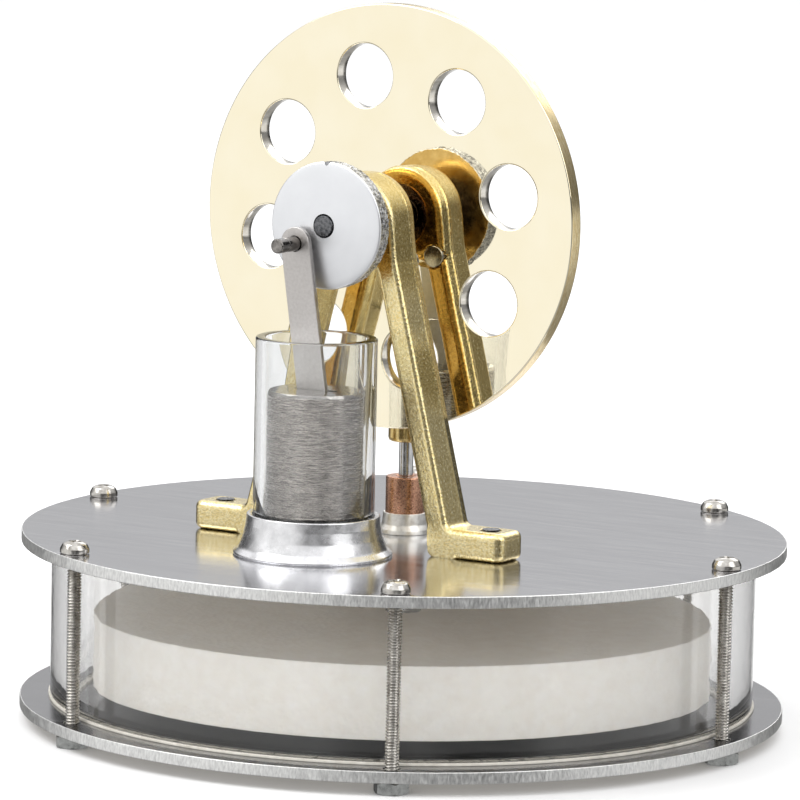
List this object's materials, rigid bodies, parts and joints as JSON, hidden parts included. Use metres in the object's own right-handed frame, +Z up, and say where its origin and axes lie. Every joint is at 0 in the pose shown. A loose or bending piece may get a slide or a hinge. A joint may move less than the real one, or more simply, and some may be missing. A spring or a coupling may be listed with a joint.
{
  "type": "stirling engine model",
  "caption": "Tabletop hot-air engine: round two-plate chamber with a foam displacer, glass power cylinder, cast bracket, crank disc and pierced flywheel.",
  "frame": {"origin": "on the chamber's axis, level with the undersides of the nuts that the engine stands on", "axes": "+Z up, the shaft along Y with the crank disc at the -Y end, +X to the right when looking along +Y"},
  "size_m": [0.1, 0.1, 0.0941],
  "materials": {
    "plate_aluminium": "brushed, half mirror, with a bright sawn rim",
    "gasket": "thin pale sheet",
    "ring_clear": "clear, polished, slightly grey at the edges",
    "screw_steel": "bright stainless, full thread",
    "nut_steel": "stainless, faces dull",
    "foam": "cream foam, fine grain",
    "pin_steel": "ground steel",
    "seat_aluminium": "polished, flared",
    "bushing_bronze": "copper-coloured turned bronze",
    "link_brass": "satin strip",
    "casting_brass": "gold-coloured plated casting, slightly rough",
    "dark_steel": "dark steel",
    "bearing_steel": "ground races",
    "disc_aluminium": "satin white face, rough turned rim",
    "wheel_brass": "pale brass, mirror polished",
    "cylinder_glass": "clear tube",
    "piston_metal": "turned, with fine level grooves",
    "rod_steel": "matte rolled strip"
  },
  "bodies": {
    "base": {"base_plate": "plate_aluminium", "top_plate": "plate_aluminium", "lower_gasket": "gasket", "upper_gasket": "gasket", "chamber_ring": "ring_clear", "plate_screw_1": "screw_steel", "plate_screw_2": "screw_steel", "plate_screw_3": "screw_steel", "plate_screw_4": "screw_steel", "plate_screw_5": "screw_steel", "plate_screw_6": "screw_steel", "plate_nut_1": "nut_steel", "plate_nut_2": "nut_steel", "plate_nut_3": "nut_steel", "plate_nut_4": "nut_steel", "plate_nut_5": "nut_steel", "plate_nut_6": "nut_steel", "bushing_seat": "seat_aluminium", "stem_bushing": "bushing_bronze", "bracket": "casting_brass", "bracket_dowel_left": "pin_steel", "bracket_dowel_right": "pin_steel", "foot_screw_left": "dark_steel", "foot_screw_right": "dark_steel", "bearing_front": "bearing_steel", "bearing_back": "bearing_steel", "cylinder_seat": "seat_aluminium", "glass_cylinder": "cylinder_glass"},
    "crankshaft": {"shaft": "dark_steel", "crank_disc": "disc_aluminium", "grub_screw": "dark_steel", "shaft_spacer": "pin_steel", "flywheel_hub": "casting_brass", "flywheel": "wheel_brass"},
    "piston": {"piston": "piston_metal", "wrist_pin": "pin_steel"},
    "connecting_rod": {"connecting_rod": "rod_steel", "crank_pin": "pin_steel"},
    "displacer": {"displacer_foam": "foam", "displacer_stem": "pin_steel", "stem_collar": "pin_steel", "stem_head": "link_brass", "stem_pin": "pin_steel"},
    "displacer_link": {"displacer_link": "link_brass", "lift_pin": "pin_steel"}
  },
  "joints": [
    {"name": "shaft_spin", "type": "hinge", "parent": "base", "child": "crankshaft", "pos_m": [0, -0.01205, 0.0667], "axis": [0, 1, 0], "continuous": true},
    {"name": "piston_slide", "type": "slide", "parent": "base", "child": "piston", "axis": [0, 0, 1], "range_m": [-0.0019, 0.0062]},
    {"name": "rod_swing", "type": "hinge", "parent": "piston", "child": "connecting_rod", "pos_m": [0, -0.0225, 0.0424], "axis": [0, 1, 0], "range_deg": [-1.9, 19.3]},
    {"name": "displacer_slide", "type": "slide", "parent": "base", "child": "displacer", "axis": [0, 0, 1], "range_m": [-0.0009, 0.0076]},
    {"name": "link_swing", "type": "hinge", "parent": "displacer", "child": "displacer_link", "pos_m": [0, 0, 0.0396], "axis": [0, 1, 0], "range_deg": [-16.4, 4.4]}
  ]
}
